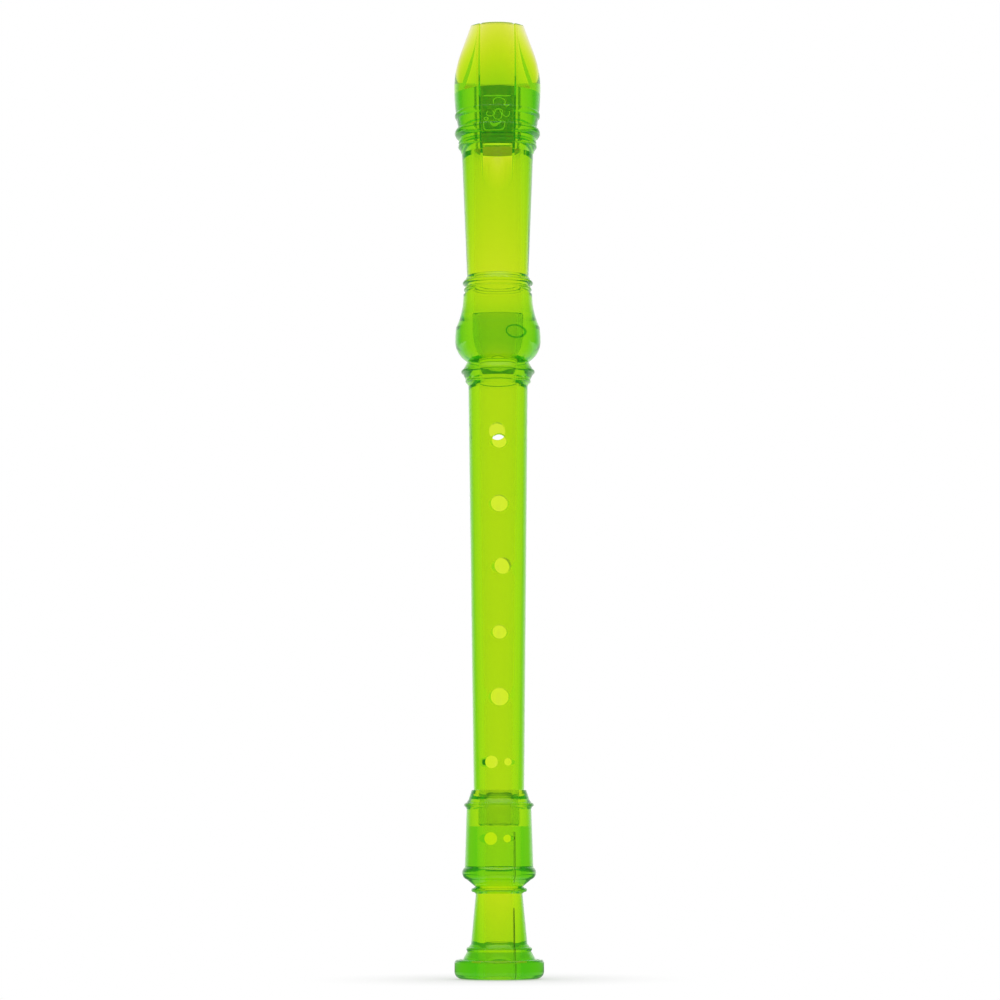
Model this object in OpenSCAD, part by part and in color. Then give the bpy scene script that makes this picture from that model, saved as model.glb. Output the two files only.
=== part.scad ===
// Soprano recorder in clear green plastic: a head with its block, a middle and a foot.
// It stands on its foot, with the finger holes facing -Y and the thumb hole facing +Y.

/* [Lengths] */
// Height of the foot
foot_length = 63.9; // [63:0.1:66]
// Visible length of the middle, between the foot and the head
middle_length = 148.2; // [146:0.1:156]
// Length of the head, from its lower end to the tip of the beak
head_length = 117.9; // [117:0.1:120]

/* [Joints] */
// Length of the tenon that the head slides on
head_tenon_length = 15.6; // [12:0.1:15.8]
// Radius of the tenon that the head slides on
head_tenon_radius = 8.8; // [8.6:0.05:9]
// Length of the tenon that the foot turns on
foot_tenon_length = 12.2; // [9:0.1:12.3]
// Radius of the tenon that the foot turns on
foot_tenon_radius = 7.1; // [6.6:0.05:7.4]
// Radial play of each tenon in its socket
tenon_play = 0.05; // [0.02:0.01:0.1]
// How far the middle is turned in the head, in degrees
middle_turn = 2.4; // [-20:0.1:20]

/* [Bore] */
// Bore radius in the head, wide enough for the block to be pushed up it
head_bore = 8.35; // [8.2:0.05:8.4]
// Bore radius at the top of the middle
middle_bore_top = 6.9; // [6:0.05:7]
// Bore radius at the bottom of the middle
middle_bore_bottom = 4.5; // [4.2:0.05:5.2]
// Bore radius in the foot
foot_bore = 5.1; // [4.6:0.05:5.5]

/* [Mouthpiece] */
// Length of the block
block_length = 21.2; // [19:0.1:21.4]
// Height of the windway
windway_height = 1.2; // [1:0.1:1.3]
// Width of the windway's roof at the tip of the beak
windway_width_in = 11.7; // [10.8:0.1:11.8]
// Width of the windway's roof at the window
windway_width_out = 10.2; // [9.6:0.1:10.4]
// Height of the window, from the block down to the labium
window_height = 4.0; // [3.5:0.1:4.5]
// Radius of the hollow that is cut in the back of the beak
beak_hollow = 22; // [21:0.5:24]
// Radius of the recess in the middle of that hollow
beak_recess = 38; // [36:0.5:40]

/* [Hidden] */
$fn = 96;
plastic = "yellowgreen";
block_plastic = "forestgreen";

// Cuts run past the faces that they open by this much
past = 1;
// Wider than any radius on the recorder
beyond = 40;
// Gap round the block, and between faces that turn on each other
seat_gap = 0.05;
// Bevel on the ends of the tenons and the mouth of the bore
bevel = 0.5;

// Heights at which the middle and the head start
middle_base = foot_length;
head_base = foot_length + middle_length;

// Heights in the head, from its lower end
socket_depth = head_tenon_length + 0.4;
block_base = head_length - 43.1;
block_top = block_base + block_length;
labium = block_base - window_height;
rings = head_length - 42.4;
chin = head_length - 19.6;
beak_widest = head_length - 20.5;

// Distances of the windway's floor and of the labium's edge from the axis
floor_out = head_bore - 0.55;
floor_in = 10.75;
labium_edge = head_bore + 0.15;
labium_underside = head_bore - 0.05;
// Length of the slope that leads up to the labium, and how steep it is
ramp_length = 20;
ramp_angle = 15;
// Height of the relief behind the labium
relief_length = 14;

// Radius of the beak at its widest, and how roundly it narrows towards the rings and the tip
beak_radius = 15.15;
beak_curve_low = 75;
beak_curve_high = 100;
// Rounding of the slanted rings' peaks, and how far their slanted sides end below the peak
rib_round = 0.7;
rib_shoulder = 0.25;
// Slants of the windway's sides, which spread steeply under the roof and widely above the floor
side_slant_roof = 28;
side_slant_floor = 60;
// Height of the wide part of the windway's sides
side_foot = 0.4;
// Distance from the axis to the back of the beak's tip, and the bevel on the edge there
tip_back = 9.4;
tip_bevel = 0.7;
// Slant at which the hollow stops curving and runs on straight, down to the chin
hollow_slant = 29;
// Rounding of the tip's front edge, and of the tip from side to side
tip_round = 0.8;
tip_crown = 65;
// How far the recess's curve starts behind the hollow's, which it crosses a little lower down
recess_start = 0.1;
// Half widths of the recess, each with its distance in front of the axis
recess_front = [6.2, 10];
recess_back = [9.9, 0];

// Finger holes in the middle: distance below the head, angle round the axis, diameter
FINGER_HOLES = [
    [28.6, 0, 5.0],
    [50.2, 0, 5.8],
    [71.7, 7, 5.7],
    [94.4, 0, 4.8],
    [116.5, 0, 6.1],
];
thumb_hole = [23.3, 180, 6.1];
// Each double hole is a large and a small hole, side by side
pair_spread = 2.8;
pair_large = 4.3;
pair_small = 2.6;
middle_pair_below_head = 138.7;
foot_pair_height = 47.4;

// A band of an outline, from the axis out to one radius
module band(low, high, radius) {
    translate([0, low])
        square([radius, high - low]);
}

// A band of an outline that narrows or widens evenly
module taper(low, high, radius_low, radius_high) {
    polygon([[0, low], [radius_low, low], [radius_high, high], [0, high]]);
}

// A rounded ring on an outline
module bead(height, peak, roundness) {
    translate([peak - roundness, height])
        circle(roundness);
}

// A ring on an outline with slanted sides and a rounded peak
module rib(low, peak_height, high, radius_low, peak, radius_high) {
    shoulder = peak - rib_shoulder;
    polygon([[0, low], [radius_low, low], [shoulder, peak_height], [radius_high, high], [0, high]]);
    bead(peak_height, peak, rib_round);
}

// A stretch of an outline that bulges, with its peak at one height
module swell(low, high, height, peak, roundness) {
    intersection() {
        translate([peak - roundness, height])
            circle(roundness, $fn = 360);
        band(low, high, beyond);
    }
}

// The radius of a swell at one height
function swell_radius(at, height, peak, roundness) =
    peak - roundness + sqrt(pow(roundness, 2) - pow(at - height, 2));

// A stretch of an outline that is hollowed, with its waist at one height
module cove(low, high, height, waist, roundness, widest) {
    difference() {
        band(low, high, widest);
        translate([waist + roundness, height])
            circle(roundness, $fn = 360);
    }
}

// A hole through one wall, square to the axis
module wall_hole(height, angle, diameter, offset = 0) {
    translate([0, 0, height])
        rotate([90, 0, angle])
            translate([offset, 0, 0])
                cylinder(h = beyond, d = diameter);
}

// A large and a small hole, side by side
module wall_pair(height) {
    wall_hole(height, 0, pair_large, -pair_spread);
    wall_hole(height, 0, pair_small, pair_spread);
}

// A shape given in depth and height, drawn out to both sides
module across(width) {
    rotate([90, 0, 90])
        linear_extrude(width, center = true)
            children();
}

// Foot

module foot_outline() {
    // Rim that it stands on
    band(0, 6.5, 12.9);
    band(2.4, 5.4, 15.25);
    bead(2.4, 15.25, 2.4);
    bead(5.4, 15.25, 1.1);
    taper(6.4, 9.1, 12.5, 11);
    rib(9, 10, 11.6, 10.9, 11.2, 9.8);
    // Neck
    taper(11.5, 29, 9.65, 7.95);
    rib(28.8, 30, 31.3, 8.1, 9.55, 8.2);
    taper(31.2, 33.6, 8.2, 11.1);
    bead(35.8, 12.65, 2.4);
    band(33.5, 38, 11.1);
    // Barrel that carries the double hole
    taper(36.5, 57.4, 11.75, 11.1);
    rib(57.2, 58.9, 60.8, 11, 11.95, 10.4);
    taper(60.7, 61.5, 10.4, 10.2);
    taper(61.4, foot_length, 10.2, 9.4);
}

module foot_joint() {
    socket_floor = foot_length - foot_tenon_length - 0.2;
    color(plastic)
        difference() {
            rotate_extrude()
                foot_outline();
            translate([0, 0, -past])
                cylinder(h = foot_length, r = foot_bore);
            translate([0, 0, -seat_gap])
                cylinder(h = bevel, r1 = foot_bore + bevel, r2 = foot_bore);
            translate([0, 0, socket_floor])
                cylinder(h = foot_length, r = foot_tenon_radius + tenon_play);
            wall_pair(foot_pair_height);
        }
}

// Middle

module middle_outline() {
    collar = middle_length;
    // Tenon for the foot
    band(bevel - foot_tenon_length, 1, foot_tenon_radius);
    taper(-foot_tenon_length, bevel - foot_tenon_length, foot_tenon_radius - bevel, foot_tenon_radius);
    // Tube and the collar under the head
    taper(seat_gap, collar - 8.2, 8.65, 10.3);
    rib(collar - 8.4, collar - 6.7, collar - 5.6, 10.3, 11.35, 11.3);
    rib(collar - 5.7, collar - 3.4, collar - seat_gap, 11.4, 12.8, 10.75);
    // Tenon for the head
    band(collar - 1, collar + head_tenon_length - bevel, head_tenon_radius);
    taper(collar + head_tenon_length - bevel, collar + head_tenon_length,
        head_tenon_radius, head_tenon_radius - bevel);
}

module middle_joint() {
    bore_length = foot_tenon_length + middle_length + head_tenon_length;
    color(plastic)
        translate([0, 0, middle_base])
            difference() {
                rotate_extrude()
                    middle_outline();
                translate([0, 0, -foot_tenon_length])
                    cylinder(h = bore_length, r1 = middle_bore_bottom, r2 = middle_bore_top);
                rotate([0, 0, middle_turn]) {
                    for (hole = FINGER_HOLES)
                        wall_hole(middle_length - hole[0], hole[1], hole[2]);
                    wall_hole(middle_length - thumb_hole[0], thumb_hole[1], thumb_hole[2]);
                    wall_pair(middle_length - middle_pair_below_head);
                }
            }
}

// Head

module head_outline() {
    tip_edge = head_length - tip_round;
    tip_radius = swell_radius(tip_edge, beak_widest, beak_radius, beak_curve_high);
    // Bulb round the socket
    swell(0, 7.4, 7.4, 14.87, 8.2);
    swell(7.4, 12, 7.4, 14.87, 34);
    cove(12, 23.8, 23.8, 12, 28, 14.6);
    rib(23.7, 25.5, 26.6, 11.4, 11.8, 11.2);
    rib(26.4, 27.8, 30.2, 11.2, 12.25, 10.75);
    // Tube
    taper(29.9, rings - 1, 10.7, 12.5);
    // Rings round the window and the block
    rib(rings - 2.5, rings + 0.6, rings + 2, 12.3, 13.75, 13.7);
    bead(rings + 5.4, 14.95, 2);
    band(rings + 1.9, rings + 8, 13.5);
    bead(rings + 11.7, 14.95, 1.5);
    // Beak
    swell(rings + 6, beak_widest, beak_widest, beak_radius, beak_curve_low);
    swell(beak_widest, tip_edge, beak_widest, beak_radius, beak_curve_high);
    bead(tip_edge, tip_radius, tip_round);
    band(tip_edge, head_length, tip_radius - tip_round);
}

// What lies behind the windway's floor, in depth and height
module behind_floor() {
    polygon([
        [-floor_out, block_base],
        [-floor_in, head_length],
        [beyond, head_length],
        [beyond, block_base],
    ]);
}

// A plug that stands above the window, with the windway's floor as its front
module plug(high, radius) {
    intersection() {
        translate([0, 0, block_base])
            cylinder(h = high - block_base, r = radius);
        across(2 * beyond)
            behind_floor();
    }
}

// All that is on the inner side of a slanted plane along the windway, which meets its lower end at one place
module within_slant(side, front, slant) {
    widening = (windway_width_in - windway_width_out) / 2;
    lean = atan((widening * cos(slant) + (floor_in - floor_out) * sin(slant)) / (head_length - block_base));
    translate([side, -front, block_base])
        rotate([0, lean, -slant])
            translate([-4 * beyond, -2 * beyond, -2 * beyond])
                cube(4 * beyond);
}

// All that is on the inner side of one of the windway's sides
module within_side() {
    steep = windway_height - side_foot;
    roof_side = windway_width_out / 2;
    within_slant(roof_side, floor_out + windway_height, side_slant_roof);
    within_slant(roof_side + steep * tan(side_slant_roof), floor_out + side_foot, side_slant_floor);
}

// The slot that the air runs through, from the tip of the beak to the window
module windway() {
    rise = (floor_in - floor_out) / (head_length - block_base);
    low = block_base - past;
    high = head_length + past;
    floor_low = floor_out - rise * past;
    floor_high = floor_in + rise * past;
    intersection() {
        across(2 * beyond)
            polygon([
                [-floor_low, low],
                [-floor_high, high],
                [-floor_high - windway_height, high],
                [-floor_low - windway_height, low],
            ]);
        within_side();
        mirror([1, 0, 0])
            within_side();
    }
}

// The window, the slope up to the labium and the relief behind it
module window_cut() {
    ramp_rise = ramp_length * tan(ramp_angle);
    across(windway_width_out) {
        polygon([
            [-labium_edge, block_base],
            [-labium_edge, labium],
            [-labium_edge - ramp_rise, labium - ramp_length],
            [-beyond, labium - ramp_length],
            [-beyond, block_base],
        ]);
        polygon([
            [0, block_base],
            [-labium_edge - past, block_base],
            [-labium_edge - past, labium],
            [-labium_underside, labium],
            [-head_bore / 2, labium - relief_length],
            [0, labium - relief_length],
        ]);
    }
}

// A cut in the back of the beak, from the height of the tip down to another, rounded to a radius
module rounded_cut(front, radius, low) {
    intersection() {
        translate([radius - front, head_length])
            circle(radius, $fn = 360);
        translate([-beyond, low])
            square([2 * beyond, beyond]);
    }
}

// The hollow in the back of the beak, which leaves a thin tip for the lips and ends at the chin
module hollow() {
    straight = head_length - beak_hollow * sin(hollow_slant);
    front = tip_back - beak_hollow * (1 - cos(hollow_slant));
    across(2 * beyond)
        rounded_cut(tip_back, beak_hollow, straight);
    across(2 * beyond)
        polygon([
            [past - front, straight + past],
            [-front, straight],
            [(straight - chin) * tan(hollow_slant) - front, chin],
            [beyond, chin],
            [beyond, straight + past],
        ]);
}

// The recess in the middle of the hollow, which goes down to the block
module recess() {
    intersection() {
        across(2 * beyond)
            rounded_cut(tip_back - recess_start, beak_recess, block_top);
        linear_extrude(head_length + past)
            polygon([
                [-recess_front[0], -recess_front[1]],
                [recess_front[0], -recess_front[1]],
                [recess_back[0], -recess_back[1]],
                [recess_back[0], beyond],
                [-recess_back[0], beyond],
                [-recess_back[0], -recess_back[1]],
            ]);
    }
}

// The bevel on the back edge of the tip
module tip_edge_cut() {
    across(2 * beyond)
        polygon([
            [-tip_back - tip_bevel - past, head_length + past],
            [past - tip_back, head_length - tip_bevel - past],
            [past - tip_back, head_length + past],
        ]);
}

// All that is under the tip's curve from side to side
module under_crown() {
    translate([0, 0, head_length - tip_crown])
        rotate([90, 0, 0])
            cylinder(h = 2 * beyond, r = tip_crown, center = true, $fn = 360);
}

module head_joint() {
    color(plastic)
        translate([0, 0, head_base])
            difference() {
                intersection() {
                    rotate_extrude()
                        head_outline();
                    under_crown();
                }
                translate([0, 0, -past])
                    cylinder(h = socket_depth + past, r = head_tenon_radius + tenon_play);
                cylinder(h = block_base, r = head_bore);
                plug(block_top + seat_gap, head_bore);
                windway();
                window_cut();
                hollow();
                recess();
                tip_edge_cut();
            }
}

// Block

module block() {
    color(block_plastic)
        translate([0, 0, head_base])
            plug(block_top, head_bore - seat_gap);
}

head_joint();
block();
middle_joint();
foot_joint();
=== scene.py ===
"""Soprano recorder in clear green plastic, standing on a white floor, seen from low in front of it."""

import math

import bmesh
import bpy
from mathutils import Euler, Matrix, Vector


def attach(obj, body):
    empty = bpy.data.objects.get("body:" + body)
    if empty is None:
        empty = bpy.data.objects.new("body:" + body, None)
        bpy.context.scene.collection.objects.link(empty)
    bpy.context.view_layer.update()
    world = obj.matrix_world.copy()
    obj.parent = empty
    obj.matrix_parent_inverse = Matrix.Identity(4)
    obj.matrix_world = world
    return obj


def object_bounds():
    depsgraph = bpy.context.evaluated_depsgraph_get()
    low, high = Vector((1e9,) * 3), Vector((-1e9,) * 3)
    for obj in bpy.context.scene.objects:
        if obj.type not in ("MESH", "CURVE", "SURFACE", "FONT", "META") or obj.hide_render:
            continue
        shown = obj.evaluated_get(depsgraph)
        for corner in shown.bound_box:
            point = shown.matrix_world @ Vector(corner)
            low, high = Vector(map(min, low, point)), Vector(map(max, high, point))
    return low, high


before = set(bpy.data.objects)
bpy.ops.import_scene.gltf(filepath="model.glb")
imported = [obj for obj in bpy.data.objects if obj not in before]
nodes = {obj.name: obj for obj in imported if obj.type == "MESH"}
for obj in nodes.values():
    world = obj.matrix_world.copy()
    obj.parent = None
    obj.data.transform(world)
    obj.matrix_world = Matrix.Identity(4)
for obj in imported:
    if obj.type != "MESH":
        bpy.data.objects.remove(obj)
cad_low, cad_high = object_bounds()
scene = bpy.context.scene

# Camera: about as far off as the photograph's, just above the floor and tilted up
CAMERA_PLACE = Vector((0.0006, -1.11, 0.0427))
CAMERA_TILT = math.radians(6.235)
CAMERA_ROLL = math.radians(-0.13)
CAMERA_LENS = 116.15
CAMERA_REACH = 20.0

# Plastic: what it takes from red, green and blue light along a metre, the colour and strength of a
# painted glow that it gives off along that metre whatever light falls on it, and what each wall lets
# through besides
PLASTIC_TAKES = (100.0, 29.0, 860.0)
BLOCK_TAKES = (230.0, 70.0, 900.0)
PAINTED_GLOW_COLOUR = (0.34, 1.0, 0.5, 1.0)
PLASTIC_PAINTED_GLOW = 6.5
PLASTIC_TINT = (0.97, 0.92, 0.75, 1.0)
PLASTIC_IOR = 1.5
ABSORPTION_DENSITY = 1000.0

# Its surface: hairline scratches along the tube and how rough they make it, and the mould's waves
SCRATCH_SCALE = (900.0, 900.0, 40.0)
SCRATCH_ROUGHNESS = (0.0, 0.05)
WAVE_SCALE = 90.0
WAVE_STRENGTH = 0.08
WAVE_HEIGHT = 0.0004

# Thin marks on the plastic: how fine their unevenness is, and how rough it makes them
FILM_SCALE = 1800.0
FILM_ROUGHNESS = (0.05, 0.3)

# Dried bubbles on the windway's floor before the block: place across and height above the head's
# lower end, and half sizes across and up
BUBBLES = (
    ((0.0005, 0.0901), (0.0018, 0.0015)),
    ((-0.0021, 0.0863), (0.0012, 0.0010)),
    ((0.0001, 0.0857), (0.0012, 0.0016)),
    ((0.0026, 0.0865), (0.0011, 0.0014)),
    ((-0.0034, 0.0844), (0.0006, 0.0005)),
    ((-0.0010, 0.0816), (0.0031, 0.0011)),
    ((-0.0006, 0.0813), (0.0017, 0.0006)),
    ((-0.0002, 0.0922), (0.0040, 0.0001)),
)
BUBBLE_WIRE = 0.00015
BUBBLE_LIFT = 0.0002
BUBBLE_TINTS = ((0.45, 0.85, 0.25, 1.0), (0.7, 0.95, 0.5, 1.0))
BUBBLE_IOR = 1.4
BUBBLE_CLEARNESS = 0.2
# Painted glow on the bubbles' rims, which lights them whatever light falls on them
BUBBLE_PAINTED_GLOW = 0.17

# The windway's floor: height above the head's lower end and depth before the axis, at the window
# and at the tip
WINDWAY_OUT = (0.0748, 0.0078)
WINDWAY_IN = (0.1179, 0.01075)

# Ring round a bubble in the grease of the upper tenon, just inside the socket's wall: turn to the
# right and half its spread, height above the head's lower end and half its size up
GREASE_TURN = math.radians(37.0)
GREASE_SPREAD = math.radians(22.0)
GREASE_HEIGHT = (0.0095, 0.0019)
GREASE_RADIUS = 0.00912
GREASE_WIRE = 0.00024
GREASE_TINTS = ((0.15, 0.6, 0.12, 1.0), (0.3, 0.72, 0.25, 1.0))
GREASE_IOR = 1.0
GREASE_CLEARNESS = 1.0

# Line along the foot's bore where the plastic met in the mould: turn to the right, distance from
# the axis, height of the middle and half the length of each stretch, and half the width
FLOW_TURN = math.radians(55.0)
FLOW_RADIUS = 0.00508
FLOW_STRETCHES = ((0.0128, 0.0108), (0.0420, 0.0075))
FLOW_WIDTH = 0.00005
FLOW_WIRE = 0.0001
FLOW_TINTS = ((0.05, 0.06, 0.01, 1.0), (0.2, 0.22, 0.04, 1.0))
FLOW_IOR = 1.5
FLOW_CLEARNESS = 0.0

# Height at which the head starts
HEAD_BASE = 0.2121

# Fineness of the thin rings, and how far and how often they stray from an even oval
RING_STEPS = 40
RING_SIDES = 8
RING_WOBBLE = 0.05
RING_LOBES = 3

# Floor: how far it reaches and how far the shadow does, with the share of plain white at its middle
FLOOR_HALF_SIZE = 3.0
FLOOR_DROP = 0.0002
FLOOR_COLOUR = (0.9, 0.9, 0.9, 1.0)
SHADOW_REACH = 0.07
SHADOW_WHITE = 0.35

# Light: the studio's level, that of the dim room before it, and where the one passes into the
# other: for the world as the part of a direction that points back or up to the lamp, for the floor
# in metres
STUDIO_LEVEL = 0.9
ROOM_LEVEL = 0.1
ROOM_TO_STUDIO = (0.45, 0.92)
ROOM_TO_LAMP = (0.8, 0.95)
ROOM_FLOOR_TO_STUDIO = (0.0, 0.5)

# How many walls of the plastic light may pass or bounce off
BOUNCES = 64

WHITE = (1.0, 1.0, 1.0, 1.0)


def make_camera():
    data = bpy.data.cameras.new("camera")
    data.lens = CAMERA_LENS
    data.clip_end = CAMERA_REACH
    camera = bpy.data.objects.new("camera", data)
    level = Euler((math.pi / 2 + CAMERA_TILT, 0.0, 0.0)).to_matrix()
    turned = level @ Matrix.Rotation(CAMERA_ROLL, 3, "Z")
    camera.matrix_world = Matrix.Translation(CAMERA_PLACE) @ turned.to_4x4()
    scene.collection.objects.link(camera)
    scene.camera = camera


def add_node(tree, kind, **inputs):
    """A shader node with some of its sockets set, by their names with spaces as underscores."""
    node = tree.nodes.new(kind)
    for name, value in inputs.items():
        node.inputs[name.replace("_", " ")].default_value = value
    return node


def empty_tree(material):
    material.use_nodes = True
    material.node_tree.nodes.clear()
    return material.node_tree


def spread(tree, source, ends):
    """A factor from 0 to 1, spread over the range between two ends."""
    node = add_node(tree, "ShaderNodeMapRange", To_Min=ends[0], To_Max=ends[1])
    tree.links.new(source, node.inputs["Value"])
    return node.outputs["Result"]


def combine(tree, operation, first, second):
    """Two numbers worked into one."""
    node = tree.nodes.new("ShaderNodeMath")
    node.operation = operation
    tree.links.new(first, node.inputs[0])
    tree.links.new(second, node.inputs[1])
    return node.outputs["Value"]


def between(tree, factor, start, end):
    """A number from start to end, by a factor from 0 to 1; each may be a number or a socket."""
    node = tree.nodes.new("ShaderNodeMix")
    for name, value in (("Factor", factor), ("A", start), ("B", end)):
        if isinstance(value, float):
            node.inputs[name].default_value = value
        else:
            tree.links.new(value, node.inputs[name])
    return node.outputs["Result"]


def clear_plastic(name, takes):
    """Clear moulded plastic: its colour deepens with the length that light travels in it, and a
    painted glow along that length lifts it.
    """
    material = bpy.data.materials.new(name)
    tree = empty_tree(material)
    link = tree.links.new
    place = add_node(tree, "ShaderNodeTexCoord").outputs["Object"]

    # Hairline scratches run mostly along the tube, where it is wiped and pushed together
    stretch = add_node(tree, "ShaderNodeMapping", Scale=SCRATCH_SCALE)
    link(place, stretch.inputs["Vector"])
    scratches = add_node(tree, "ShaderNodeTexNoise", Scale=1.0, Detail=3.0, Roughness=0.7)
    link(stretch.outputs["Vector"], scratches.inputs["Vector"])

    # Slow waves that the mould leaves on the surface
    waves = add_node(tree, "ShaderNodeTexNoise", Scale=WAVE_SCALE, Detail=1.0)
    link(place, waves.inputs["Vector"])
    bump = add_node(tree, "ShaderNodeBump", Strength=WAVE_STRENGTH, Distance=WAVE_HEIGHT)
    link(waves.outputs["Fac"], bump.inputs["Height"])

    shader = add_node(
        tree,
        "ShaderNodeBsdfPrincipled",
        Base_Color=PLASTIC_TINT,
        IOR=PLASTIC_IOR,
        Transmission_Weight=1.0,
    )
    roughness = spread(tree, scratches.outputs["Fac"], SCRATCH_ROUGHNESS)
    link(roughness, shader.inputs["Roughness"])
    link(bump.outputs["Normal"], shader.inputs["Normal"])

    colour = [1.0 - taken / ABSORPTION_DENSITY for taken in takes]
    inside = add_node(
        tree,
        "ShaderNodeVolumeAbsorption",
        Color=(*colour, 1.0),
        Density=ABSORPTION_DENSITY,
    )
    # Painted glow: the plastic gives off green light along its length whatever light falls on it,
    # lifting its thick parts
    painted_glow = add_node(tree, "ShaderNodeEmission", Color=PAINTED_GLOW_COLOUR, Strength=PLASTIC_PAINTED_GLOW)
    absorption_and_painted_glow = tree.nodes.new("ShaderNodeAddShader")
    link(inside.outputs["Volume"], absorption_and_painted_glow.inputs[0])
    link(painted_glow.outputs["Emission"], absorption_and_painted_glow.inputs[1])
    out = add_node(tree, "ShaderNodeOutputMaterial")
    link(shader.outputs["BSDF"], out.inputs["Surface"])
    link(absorption_and_painted_glow.outputs["Shader"], out.inputs["Volume"])
    return material


def seen_directly(tree):
    """1 for rays from the camera, or through or off something shiny, and 0 for other light."""
    rays = add_node(tree, "ShaderNodeLightPath").outputs
    total = rays["Is Camera Ray"]
    for kind in ("Is Glossy Ray", "Is Transmission Ray"):
        total = combine(tree, "MAXIMUM", total, rays[kind])
    return total


def room_level(tree, toward, ends):
    """The level of the room, up to the studio's white, by how far something lies toward that."""
    room = add_node(
        tree,
        "ShaderNodeMapRange",
        From_Min=ends[0],
        From_Max=ends[1],
        To_Min=ROOM_LEVEL,
        To_Max=1.0,
    )
    room.interpolation_type = "SMOOTHSTEP"
    tree.links.new(toward, room.inputs["Value"])
    return room.outputs["Result"]


def level_met(tree, others, mirrored):
    """The level by kind of ray: white in plain sight and through the plastic, or as mirrored."""
    rays = add_node(tree, "ShaderNodeLightPath").outputs
    level = between(tree, rays["Is Glossy Ray"], others, mirrored)
    for kind in ("Is Transmission Ray", "Is Camera Ray"):
        level = between(tree, rays[kind], level, 1.0)
    return level


def make_world():
    """A white studio with a lamp above, and a dim room before it that shows only where mirrored."""
    world = bpy.data.worlds.new("world")
    scene.world = world
    tree = empty_tree(world)
    link = tree.links.new
    way = add_node(tree, "ShaderNodeSeparateXYZ")
    link(add_node(tree, "ShaderNodeTexCoord").outputs["Generated"], way.inputs["Vector"])
    studio = room_level(tree, way.outputs["Y"], ROOM_TO_STUDIO)
    lamp = room_level(tree, way.outputs["Z"], ROOM_TO_LAMP)
    level = level_met(tree, STUDIO_LEVEL, combine(tree, "MAXIMUM", studio, lamp))
    light = add_node(tree, "ShaderNodeBackground", Color=WHITE)
    out = add_node(tree, "ShaderNodeOutputWorld")
    link(level, light.inputs["Strength"])
    link(light.outputs["Background"], out.inputs["Surface"])


def floor_material():
    """White all over, with the recorder's shadow round its foot."""
    material = bpy.data.materials.new("floor")
    tree = empty_tree(material)
    link = tree.links.new
    place = add_node(tree, "ShaderNodeTexCoord").outputs["Object"]
    reach = add_node(tree, "ShaderNodeVectorMath")
    reach.operation = "LENGTH"
    link(place, reach.inputs[0])
    fade = add_node(
        tree,
        "ShaderNodeMapRange",
        From_Max=SHADOW_REACH,
        To_Min=SHADOW_WHITE,
        To_Max=1.0,
    )
    fade.interpolation_type = "SMOOTHSTEP"
    link(reach.outputs["Value"], fade.inputs["Value"])
    share = combine(tree, "MULTIPLY", fade.outputs["Result"], seen_directly(tree))

    matt = add_node(tree, "ShaderNodeBsdfDiffuse", Color=FLOOR_COLOUR)
    white = add_node(tree, "ShaderNodeEmission", Color=WHITE)
    way = add_node(tree, "ShaderNodeSeparateXYZ")
    link(place, way.inputs["Vector"])
    mirrored = room_level(tree, way.outputs["Y"], ROOM_FLOOR_TO_STUDIO)
    link(level_met(tree, 1.0, mirrored), white.inputs["Strength"])
    mix = add_node(tree, "ShaderNodeMixShader")
    out = add_node(tree, "ShaderNodeOutputMaterial")
    link(share, mix.inputs[0])
    link(matt.outputs["BSDF"], mix.inputs[1])
    link(white.outputs["Emission"], mix.inputs[2])
    link(mix.outputs["Shader"], out.inputs["Surface"])
    return material


def make_floor():
    sides = ((-1, -1), (1, -1), (1, 1), (-1, 1))
    corners = [(x * FLOOR_HALF_SIZE, y * FLOOR_HALF_SIZE, 0.0) for x, y in sides]
    mesh = bpy.data.meshes.new("floor")
    mesh.from_pydata(corners, [], [(0, 1, 2, 3)])
    mesh.materials.append(floor_material())
    floor = bpy.data.objects.new("floor", mesh)
    floor.location.z = cad_low.z - FLOOR_DROP
    scene.collection.objects.link(floor)


def dress(node, material):
    """Gives a node its material in place of the plain one that it came with."""
    slots = nodes[node].data.materials
    slots.clear()
    slots.append(material)


def film(name, tints, refraction, clearness, painted_glow_strength=0.0):
    """A thin mark of moisture, grease or dark plastic, uneven in its colour and its gloss, with a
    painted glow if given one.
    """
    material = bpy.data.materials.new(name)
    tree = empty_tree(material)
    link = tree.links.new
    unevenness = add_node(tree, "ShaderNodeTexNoise", Scale=FILM_SCALE, Detail=3.0)
    link(add_node(tree, "ShaderNodeTexCoord").outputs["Object"], unevenness.inputs["Vector"])
    colour = tree.nodes.new("ShaderNodeMix")
    colour.data_type = "RGBA"
    for socket, tint in zip(("A_Color", "B_Color"), tints):
        next(one for one in colour.inputs if one.identifier == socket).default_value = tint
    link(unevenness.outputs["Fac"], colour.inputs["Factor"])
    # Its emission is a painted glow in the plastic's glow colour, which lights the mark whatever falls
    # on it
    shader = add_node(
        tree,
        "ShaderNodeBsdfPrincipled",
        IOR=refraction,
        Transmission_Weight=clearness,
        Emission_Color=PAINTED_GLOW_COLOUR,
        Emission_Strength=painted_glow_strength,
    )
    result = next(one for one in colour.outputs if one.identifier == "Result_Color")
    link(result, shader.inputs["Base Color"])
    link(spread(tree, unevenness.outputs["Fac"], FILM_ROUGHNESS), shader.inputs["Roughness"])
    out = add_node(tree, "ShaderNodeOutputMaterial")
    link(shader.outputs["BSDF"], out.inputs["Surface"])
    return material


def wobbly_oval(phase=0.0):
    """The points round a slightly uneven circle, as parts of its half sizes across and up."""
    for step in range(RING_STEPS):
        angle = 2 * math.pi * step / RING_STEPS
        reach = 1.0 + RING_WOBBLE * math.cos(RING_LOBES * angle + phase)
        yield reach * math.cos(angle), reach * math.sin(angle)


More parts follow.
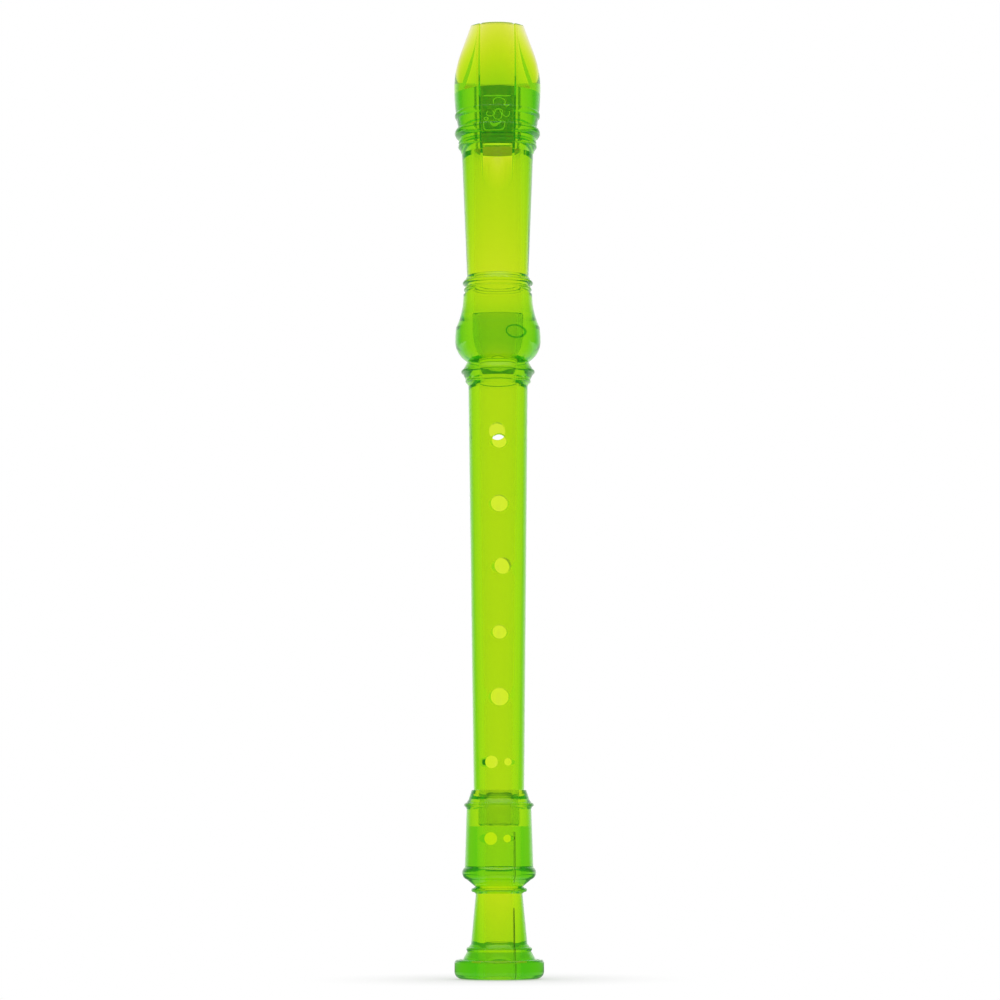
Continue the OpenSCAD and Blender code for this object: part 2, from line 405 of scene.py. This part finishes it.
def add_ring(shape, path, wire):
    """Adds a thin closed ring to a mesh, along places that come with the direction they face."""
    loops = []
    for index, (place, facing) in enumerate(path):
        along = path[(index + 1) % len(path)][0] - path[index - 1][0]
        side = along.cross(facing).normalized()
        loop = []
        for step in range(RING_SIDES):
            angle = 2 * math.pi * step / RING_SIDES
            out = math.cos(angle) * side + math.sin(angle) * facing
            loop.append(shape.verts.new(place + wire * out))
        loops.append(loop)
    for index, loop in enumerate(loops):
        after = loops[(index + 1) % len(loops)]
        for step in range(RING_SIDES):
            onward = (step + 1) % RING_SIDES
            face = shape.faces.new((loop[step], after[step], after[onward], loop[onward]))
            face.smooth = True


def add_piece(name, body, paths, wire, material):
    """A piece of thin rings that moves with a body."""
    shape = bmesh.new()
    for path in paths:
        add_ring(shape, path, wire)
    bmesh.ops.recalc_face_normals(shape, faces=shape.faces)
    mesh = bpy.data.meshes.new(name)
    shape.to_mesh(mesh)
    shape.free()
    mesh.materials.append(material)
    piece = bpy.data.objects.new(name, mesh)
    scene.collection.objects.link(piece)
    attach(piece, body)


def make_bubbles():
    """The rims of bubbles that dried on the windway's floor."""
    forward = Vector((0.0, -1.0, 0.0))
    rise = (WINDWAY_IN[1] - WINDWAY_OUT[1]) / (WINDWAY_IN[0] - WINDWAY_OUT[0])
    paths = []
    for number, (place, half) in enumerate(BUBBLES):
        path = []
        for right, up in wobbly_oval(float(number)):
            across = place[0] + right * half[0]
            height = place[1] + up * half[1]
            depth = WINDWAY_OUT[1] + rise * (height - WINDWAY_OUT[0]) + BUBBLE_LIFT
            path.append((Vector((across, -depth, HEAD_BASE + height)), forward))
        paths.append(path)
    material = film("dried_film", BUBBLE_TINTS, BUBBLE_IOR, BUBBLE_CLEARNESS, BUBBLE_PAINTED_GLOW)
    add_piece("dried_bubbles", "head", paths, BUBBLE_WIRE, material)


def make_grease_ring():
    """The ring round a bubble in the grease of the upper tenon."""
    path = []
    for right, up in wobbly_oval():
        turn = GREASE_TURN + right * GREASE_SPREAD
        facing = Vector((math.sin(turn), -math.cos(turn), 0.0))
        height = HEAD_BASE + GREASE_HEIGHT[0] + up * GREASE_HEIGHT[1]
        path.append((GREASE_RADIUS * facing + Vector((0.0, 0.0, height)), facing))
    material = film("grease", GREASE_TINTS, GREASE_IOR, GREASE_CLEARNESS)
    add_piece("grease_ring", "head", [path], GREASE_WIRE, material)


def make_flow_line():
    """The dark line along the foot's bore, in stretches that are very narrow ovals."""
    facing = Vector((math.sin(FLOW_TURN), -math.cos(FLOW_TURN), 0.0))
    across = Vector((math.cos(FLOW_TURN), math.sin(FLOW_TURN), 0.0))
    paths = []
    for middle, half in FLOW_STRETCHES:
        path = []
        for right, up in wobbly_oval():
            height = Vector((0.0, 0.0, middle + up * half))
            path.append((FLOW_RADIUS * facing + right * FLOW_WIDTH * across + height, facing))
        paths.append(path)
    material = film("flow_mark", FLOW_TINTS, FLOW_IOR, FLOW_CLEARNESS)
    add_piece("flow_line", "foot", paths, FLOW_WIRE, material)


make_camera()
make_world()
make_floor()

plastic = clear_plastic("clear_plastic", PLASTIC_TAKES)
for node in ("head_joint", "middle_joint", "foot_joint"):
    dress(node, plastic)
dress("block", clear_plastic("block_plastic", BLOCK_TAKES))
make_bubbles()
make_grease_ring()
make_flow_line()

scene.view_settings.view_transform = "Standard"
scene.cycles.max_bounces = BOUNCES
scene.cycles.transmission_bounces = BOUNCES
scene.cycles.glossy_bounces = BOUNCES
